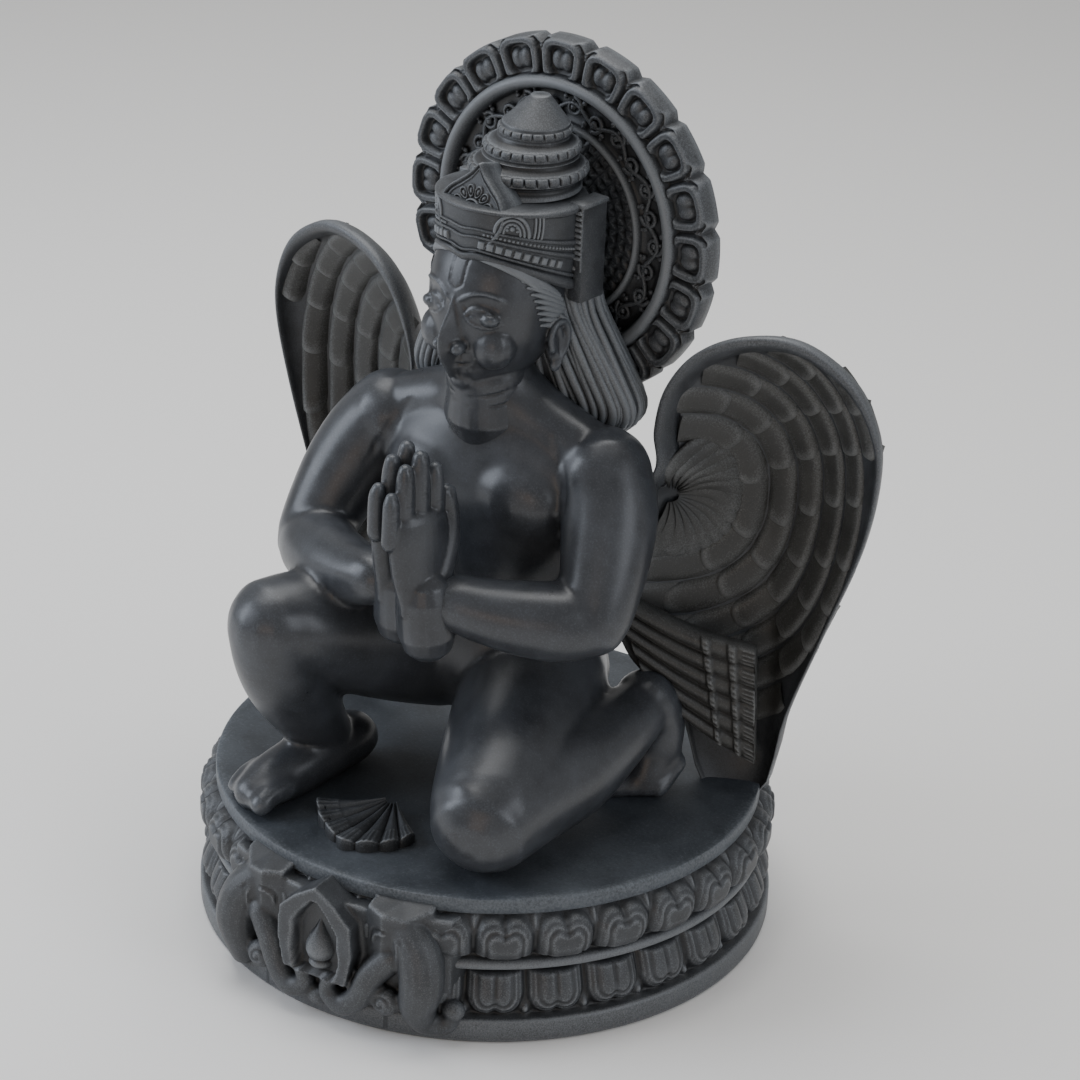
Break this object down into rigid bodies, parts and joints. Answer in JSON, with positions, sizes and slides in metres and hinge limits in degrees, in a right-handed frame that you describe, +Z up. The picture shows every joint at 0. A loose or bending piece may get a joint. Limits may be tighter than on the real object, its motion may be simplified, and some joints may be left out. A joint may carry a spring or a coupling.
{
  "type": "garuda figure",
  "caption": "Kneeling winged garuda with joined palms, round halo and lotus plinth, carved from one block of dark polished stone.",
  "frame": {"origin": "centre of the plinth's flat underside", "axes": "+Z up, the figure faces -Y, its left side is +X"},
  "size_m": [0.6004, 0.518, 0.754],
  "materials": {
    "black_stone": "dark grey-black stone, skin polished, carved grounds matte"
  },
  "bodies": {
    "root": {"garuda_figure": "black_stone"}
  },
  "joints": []
}
